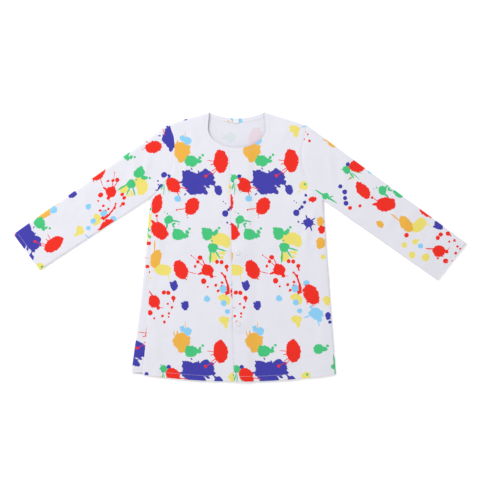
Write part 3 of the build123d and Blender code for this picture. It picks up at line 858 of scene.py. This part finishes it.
def make_back():
    """The back, up to where it starts to roll round the right side, and its points along that edge."""
    inner = side_right + (EDGE_ROLL, 0)
    inner[0] = UNDERARM_RIGHT
    low = between(hem, inner[-1][0], HEM_LEFT[0])
    edges = [
        back_neck, shoulder_left, armhole_left, side_left, low[::-1], inner[::-1], armhole_right[::-1],
        shoulder_right[::-1],
    ]
    ways = unit(HEM_LEFT, SIDE_MIDDLE_LEFT), unit(HEM_RIGHT, SIDE_MIDDLE_RIGHT)
    cloth, ranges = body_panel(edges, 4, back_mid, "back", ways, 1)
    edge = [(cloth.points[i], cloth.heights[i]) for i in ranges[5]]
    return cloth.piece("back_cloth", CLOTH, CLOTH_SIDES, outer_up=False), edge


def make_wrap(edge):
    """The cloth that carries the back round the right side, up to the side seam on the front."""
    base, low = np.array([p for p, _ in edge]), np.array([z for _, z in edge])
    count = len(edge)
    silhouette, seam = shares(side_right[::-1], count), shares(seam_right[::-1], count)
    reach = base[:, 0] - silhouette[:, 0]
    width = np.maximum(seam[:, 0] - silhouette[:, 0] + 1.5, reach)
    rows = []
    for angle in range(-90, 91, 15):
        a = math.radians(angle)
        p = np.column_stack([base[:, 0] - reach * math.cos(a), base[:, 1]])
        unrolled = np.column_stack([silhouette[:, 0] + reach * a, base[:, 1]])
        height = np.maximum(TUBE_MID + TUBE_HALF * math.sin(a), low)
        rows.append((p, height, print_place(unrolled, "right_side")))
    for share in (0.3, 0.6, 0.85, 1.0):
        x = silhouette[:, 0] + reach + (width - reach) * share
        p = np.column_stack([x, base[:, 1]])
        tuck = 0.5 if share == 1.0 else 0.0  # its edge goes in at the seam
        rows.append((p, front_mid(p) - tuck, print_place(p, "right_side")))
    cloth = Cloth(*rows[0], faces=[])
    cloth.strip(range(count), rows[1:])
    return cloth.piece("right_side_cloth", CLOTH, CLOTH_SIDES, outer_up=False)


def across_sleeve(width):
    """Shares of the way across a sleeve, closer together near its folded edges."""
    marks = [m / width for m in EDGE_MARKS]
    middle = np.linspace(0, 1, SLEEVE_COLUMNS)[1:-1]
    inside = [marks[-1] + (1 - 2 * marks[-1]) * k for k in middle]
    return np.array(marks + inside + [1 - m for m in marks[::-1]])


def sleeve_ring(side, t, shrink):
    """A ring round a sleeve, t being 0 at the armhole and 1 at the cuff: points, heights and print places."""
    armhole, (cuff_top, cuff_low), lines, seed = SLEEVES[side]
    cuff_top, cuff_low = np.array(cuff_top), np.array(cuff_low)
    start = shares(armhole, 201)
    width = np.linalg.norm((start[0] * (1 - t) + cuff_top * t) - (start[-1] * (1 - t) + cuff_low * t))
    s = across_sleeve(width)
    a = np.column_stack([np.interp(s, np.linspace(0, 1, 201), start[:, k]) for k in (0, 1)])
    p = a * (1 - t) + (cuff_top + (cuff_low - cuff_top) * s[:, None]) * t
    to_edge = np.minimum(s, 1 - s) * width
    half = (TUBE_HALF - shrink) * (1 - rolled(to_edge))
    free = 1 - rolled(to_edge, 9)
    lift = (ridges(p, lines) + uneven(p, SLEEVE_UNEVEN, seed)) * free
    seam = 0.55 * math.exp(-((t * 300 / 2.5) ** 2))
    front = TUBE_MID + half + lift - seam - SLEEVE_SETTLE * smooth(t, 0.75, 1.0) * free
    under = TUBE_MID - half + 0.35 * np.clip(waves(p, 44, seed + 7), 0, 1) * free
    way = unit(armhole[0], cuff_top)
    away = p - armhole[0]
    off = away[:, 0] * way[1] - away[:, 1] * way[0]
    # The under layer's place on the flat sleeve, opened out past the top fold
    mirrored = p - 2 * off[:, None] * np.array([way[1], -way[0]])
    back = slice(-2, 0, -1)
    return (
        np.vstack([p, p[back]]),
        np.concatenate([front, under[back]]),
        np.vstack([print_place(p, f"{side}_sleeve"), print_place(mirrored[back], f"{side}_sleeve")]),
    )


def make_sleeve(side):
    """A flattened tube from the armhole seam to its turned-in cuff."""
    armhole, cuff = SLEEVES[side][:2]
    length = float(np.linalg.norm(np.array(cuff[0]) - armhole[0]))
    stations = [(-1.0 / length, 0.35), (0.4 / length, 0)]
    stations += [(k / SLEEVE_ROWS, 0) for k in range(1, SLEEVE_ROWS + 1)]
    stations += [((length + 0.35) / length, 0.35), (1.0, HEM_FOLD)]
    stations += [((length - d) / length, HEM_FOLD) for d in (2, 4.5, 7, CUFF_DEPTH)]
    rings = [sleeve_ring(side, t, shrink) for t, shrink in stations]
    around = len(rings[0][0])
    faces = []
    for r in range(len(rings) - 1):
        for i in range(around):
            here, after = r * around + i, r * around + (i + 1) % around
            faces.append((here, after, after + around, here + around))
    points, heights, places = zip(*rings)
    cloth = Cloth(np.vstack(points), np.concatenate(heights), np.vstack(places), faces)
    return cloth.piece(f"{side}_sleeve_cloth", CLOTH, CLOTH_SIDES)


def ribbon(name, first, second, mid, panel, columns, rows=5, material=None):
    """A flat strip of facing between two curves, on the inner side of the cloth."""
    a, b = shares(first, columns), shares(second, columns)
    points = np.vstack([a + (b - a) * k / rows for k in range(rows + 1)])
    cloth = Cloth(points, mid(points), print_place(points, panel), grid_faces(columns, rows + 1))
    return cloth.piece(name, FACING, [material or reverse])


def grid_faces(columns, rows):
    """The faces of a grid of points, that many across and that many down."""
    corners = [r * columns + i for r in range(rows - 1) for i in range(columns - 1)]
    return [(q, q + 1, q + columns + 1, q + columns) for q in corners]


# Rows of stitches -------------------------------------------------------------------------------


def stitches(name, line, surface):
    """Separate lock stitches along a line, each a short thread that dips into the cloth at its ends."""
    count = max(2, int(run_lengths(line)[-1] / STITCH_PITCH))
    centres = shares(line, 2 * count + 1)
    top = surface(centres)
    verts, faces = [], []
    for i in range(count):
        before, here, after = (np.array([*centres[2 * i + k], top[2 * i + k]]) for k in range(3))
        way = (after - before) / np.linalg.norm(after - before)
        flat = np.array([-way[1], way[0], 0]) / np.hypot(way[0], way[1])
        up = np.cross(way, flat)
        base = len(verts)
        for reach, width, rise in STITCH_PROFILE:
            centre = here + way * reach * STITCH + up * rise
            for k in range(STITCH_SIDES):
                a = 2 * math.pi * k / STITCH_SIDES
                verts.append((centre + THREAD * width * (flat * math.cos(a) + up * math.sin(a))) * MM)
        faces += round_faces(base, len(STITCH_PROFILE), STITCH_SIDES)
    return plain_piece(name, verts, faces, thread)


def round_faces(base, rings, sides):
    """The faces of a closed round shape whose rings of points start at number base."""
    faces = []
    for q in range(base, base + (rings - 1) * sides, sides):
        for k in range(sides):
            n = (k + 1) % sides
            faces.append((q + k, q + n, q + sides + n, q + sides + k))
    last = base + (rings - 1) * sides
    return faces + [tuple(range(base + sides - 1, base - 1, -1)), tuple(range(last, last + sides))]


def plain_piece(name, verts, faces, material, crisp=40):
    """A smooth solid of one material, with its sharper edges kept crisp."""
    mesh = bpy.data.meshes.new(name)
    mesh.from_pydata([tuple(v) for v in verts], [], faces)
    made = bmesh.new()
    made.from_mesh(mesh)
    bmesh.ops.recalc_face_normals(made, faces=made.faces)
    for face in made.faces:
        face.smooth = True
    made.to_mesh(mesh)
    made.free()
    mesh.materials.append(material)
    mesh.set_sharp_from_angle(angle=math.radians(crisp))
    obj = bpy.data.objects.new(name, mesh)
    bpy.context.scene.collection.objects.link(obj)
    return obj


def turned(name, profile, centre, base, outward, material, sides=64):
    """A round piece from a (radius, height) profile, on the Z axis through its centre."""
    verts = []
    for radius, height in profile:
        for k in range(sides):
            a = 2 * math.pi * k / sides
            x, y = centre[0] + radius * math.cos(a), centre[1] + radius * math.sin(a)
            verts.append((x * MM, y * MM, (base + outward * height) * MM))
    return plain_piece(name, verts, round_faces(0, len(profile), sides), material, crisp=30)


# Putting it together ----------------------------------------------------------------------------


def whole(piece, body, slot, *nodes):
    """A piece that moves with one body."""
    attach(piece, body)
    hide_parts(*nodes)
    return piece


def bent(piece, body, slot, *nodes):
    """A piece that crosses from the garment to a front or a sleeve."""
    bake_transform(piece)
    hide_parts(*nodes)
    return piece


def below(mid, gap):
    return lambda points: mid(points) - gap


def above(mid, gap):
    return lambda points: mid(points) + gap


def make_neck_band(side, edge_x, keep_right, mid):
    """The facing under a front's neckline."""
    curves = (cut_at(neck_curve(wider, 2.0), edge_x, keep_right) for wider in (0.3, FACING_WIDTH))
    band = ribbon(f"{side}_neck_band", *curves, below(mid, UNDER_CLOTH), f"{side}_front", 64)
    nodes = [f"{side}_neck_facing_{part}" for part in ("upper", "lower")]
    return bent(band, f"{side}_front", "printed_cloth", *nodes)


def make_edge_band(side, top_x, low_x, step, mid):
    """The facing that backs a front's free edge, from below the neck facing to above the hem's fold."""
    first = [(top_x, EDGE_BAND_TOP), (low_x, EDGE_BAND_LOW)]
    second = [(top_x + step, EDGE_BAND_TOP + 1), (low_x + step, EDGE_BAND_LOW)]
    band = ribbon(f"{side}_edge_band", first, second, below(mid, UNDER_CLOTH), f"{side}_front", 150, rows=9)
    return whole(band, f"{side}_front", "printed_cloth", f"{side}_placket_facing")


def make_front_row(side, kind, line, mid, parts):
    """A row of stitches on a front, at its neck or hem."""
    row = stitches(f"{side}_{kind}_row", line, above(mid, ON_CLOTH))
    return bent(row, f"{side}_front", "thread", *(f"{side}_{kind}_stitches_{part}" for part in parts))


def make_back_row(kind, line, surface):
    """A row of stitches on the back, at its neck or hem."""
    return whole(stitches(f"back_{kind}_row", line, surface), "garment", "thread", f"back_{kind}_stitches")


def make_cuff_row(side):
    """A row of stitches across the upper layer of a cuff."""
    armhole, cuff, lines, seed = SLEEVES[side]
    top, low = (np.array(p) for p in cuff)
    a = top + unit(top, armhole[0]) * CUFF_ROW + (low - top) * 0.05
    b = low + unit(low, armhole[-1]) * CUFF_ROW + (top - low) * 0.05

    def surface(points):
        lift = ridges(points, lines) + uneven(points, SLEEVE_UNEVEN, seed)
        return FRONT_MID + lift - SLEEVE_SETTLE + ON_CLOTH

    row = stitches(f"{side}_cuff_row", [a, b], surface)
    return whole(row, f"{side}_sleeve_body", "thread", f"{side}_cuff_stitches")


def make_label():
    """The blank label, which hangs from the back neck edge by its own stitches."""
    low, high = (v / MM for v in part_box("neck_label"))
    across = np.linspace(low.x, high.x, LABEL_COLUMNS)
    points = np.array([(x, y) for y in np.linspace(high.y, low.y, LABEL_ROWS) for x in across])
    fall = (high.y - points[:, 1]) / (high.y - low.y)
    curl = 0.5 * fall**2 + 0.25 * np.sin(fall * 5) * np.sin(points[:, 0] / 3)
    cloth = Cloth(points, (low.z + high.z) / 2 + curl, points, grid_faces(LABEL_COLUMNS, LABEL_ROWS))
    piece = cloth.piece("blank_neck_label", LABEL_THICK, [tape])
    return whole(piece, "label", "label_tape", "neck_label")


def make_fasteners():
    """The caps that show on each side of the cloth, and plastic for the halves between them."""
    for number, centre in enumerate(SNAPS, 1):
        for kind, body, outward in (("cap", "left_front", 1), ("back_cap", "right_front", -1)):
            low, high = (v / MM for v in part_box(f"snap_{kind}_{number}"))
            base = high.z - CAP_HEIGHT if outward > 0 else low.z + CAP_HEIGHT
            cap = turned(f"press_{kind}_{number}", CAP_PROFILE, centre, base, outward, plastic)
            whole(cap, body, "snap_plastic", f"snap_{kind}_{number}")
        for kind in ("socket", "stud"):
            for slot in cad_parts[f"snap_{kind}_{number}"].material_slots:
                slot.material = plastic


UNDER_CLOTH = (CLOTH + FACING) / 2 + 0.05
ON_CLOTH = CLOTH / 2 + THREAD * 0.35

back_piece, right_side_edge = make_back()
back = whole(back_piece, "garment", "printed_cloth", "back_panel")
wrap = whole(make_wrap(right_side_edge), "garment", "printed_cloth", "back_panel")
left_front = bent(make_left_front(), "left_front", "printed_cloth", "left_front_side", "left_front_flap")
right_front = bent(make_right_front(), "right_front", "printed_cloth", "right_front_side", "right_front_flap")
for side in SLEEVES:
    nodes = [f"{side}_sleeve_{part}" for part in ("front", "back", "cap")]
    bent(make_sleeve(side), f"{side}_sleeve_body", "printed_cloth", *nodes)

facing_line = back_neck[4:-4]
back_neck_band = ribbon(
    "back_neck_band", facing_line + (0, -0.4), facing_line + (0, -FACING_WIDTH),
    above(back_mid, UNDER_CLOTH), "back_neck", 40, material=printed,
)
whole(back_neck_band, "garment", "printed_cloth", "back_neck_facing")
left_neck_band = make_neck_band("left", LAP_TOP_X + 1, True, left_mid)
right_neck_band = make_neck_band("right", UNDER_X - 1, False, front_mid)
left_edge_band = make_edge_band(
    "left", lap_x(EDGE_BAND_TOP) + 1, lap_x(EDGE_BAND_LOW) + 1, PLACKET_WIDTH, left_mid
)
right_edge_band = make_edge_band("right", UNDER_X - 1, UNDER_X - 1, -PLACKET_WIDTH, front_mid)

neck_line = neck_curve(NECK_ROW, 1.0)
left_neck, right_neck = cut_at(neck_line, LAP_TOP_X + 1.5, True), cut_at(neck_line, UNDER_X - 1.5, False)
hem_line = hem + (0, HEM_ROW)
left_hem = between(hem_line, LAP_HEM_X + 1.5, 206, 200)
right_hem = between(hem_line, -233, UNDER_X - 1.5, 200)
back_neck_row = make_back_row("neck", back_neck[3:-3] + (0, -NECK_ROW), above(back_mid, ON_CLOTH + FACING))
back_hem_row = make_back_row("hem", between(hem_line, -232, 206, 200), above(back_mid, -ON_CLOTH + 0.1))
neck_parts, hem_parts = ("upper", "lower"), ("side", "flap")
left_neck_row = make_front_row("left", "neck", left_neck, left_mid, neck_parts)
right_neck_row = make_front_row("right", "neck", right_neck, front_mid, neck_parts)
left_hem_row = make_front_row("left", "hem", left_hem, left_mid, hem_parts)
right_hem_row = make_front_row("right", "hem", right_hem, front_mid, hem_parts)
cuff_rows = {side: make_cuff_row(side) for side in SLEEVES}
label = make_label()
make_fasteners()


# Floor, light and camera ------------------------------------------------------------------------


def make_floor():
    """A plain pale floor, a little below the cloth."""
    mesh = bpy.data.meshes.new("floor")
    reach, drop = 6.0, -0.0002
    corners = [(-reach, -reach, drop), (reach, -reach, drop), (reach, reach, drop), (-reach, reach, drop)]
    mesh.from_pydata(corners, [], [(0, 1, 2, 3)])
    floor = bpy.data.objects.new("floor", mesh)
    bpy.context.scene.collection.objects.link(floor)
    material, _, shader = new_material("pale_floor", 0.9, specular=0.1)
    shader.inputs["Base Color"].default_value = (0.93, 0.93, 0.93, 1)
    shader.inputs["Emission Color"].default_value = (1, 1, 1, 1)
    shader.inputs["Emission Strength"].default_value = 0.22
    mesh.materials.append(material)


def make_lights():
    """Even light from all round, with a soft key from the upper left."""
    world = bpy.data.worlds.new("studio")
    world.use_nodes = True
    background = world.node_tree.nodes["Background"]
    background.inputs["Color"].default_value = (0.97, 0.98, 1.0, 1)
    background.inputs["Strength"].default_value = 0.62
    bpy.context.scene.world = world
    for name, place, size, power in (
        ("key", (-1.5, 1.5, 2.2), 1.4, 49.0),
        ("fill", (1.8, -1.2, 3.2), 2.6, 10.0),
    ):
        light = bpy.data.lights.new(name, "AREA")
        light.size, light.energy = size, power
        lamp = bpy.data.objects.new(name, light)
        bpy.context.scene.collection.objects.link(lamp)
        lamp.location = place
        lamp.rotation_euler = (-Vector(place)).to_track_quat("-Z", "Y").to_euler()


def make_camera():
    """Straight above the smock, with a long lens that takes in a square 1.056 m wide."""
    view_width, view_height, middle_y = 1.056, 3.4, 0.0149
    data = bpy.data.cameras.new("camera")
    data.sensor_width = 36.0
    data.lens = data.sensor_width * view_height / view_width
    camera = bpy.data.objects.new("camera", data)
    bpy.context.scene.collection.objects.link(camera)
    camera.location = (0, middle_y, view_height + FRONT_MID * MM)
    bpy.context.scene.camera = camera


make_floor()
make_lights()
make_camera()
bpy.context.scene.view_settings.view_transform = "Standard"
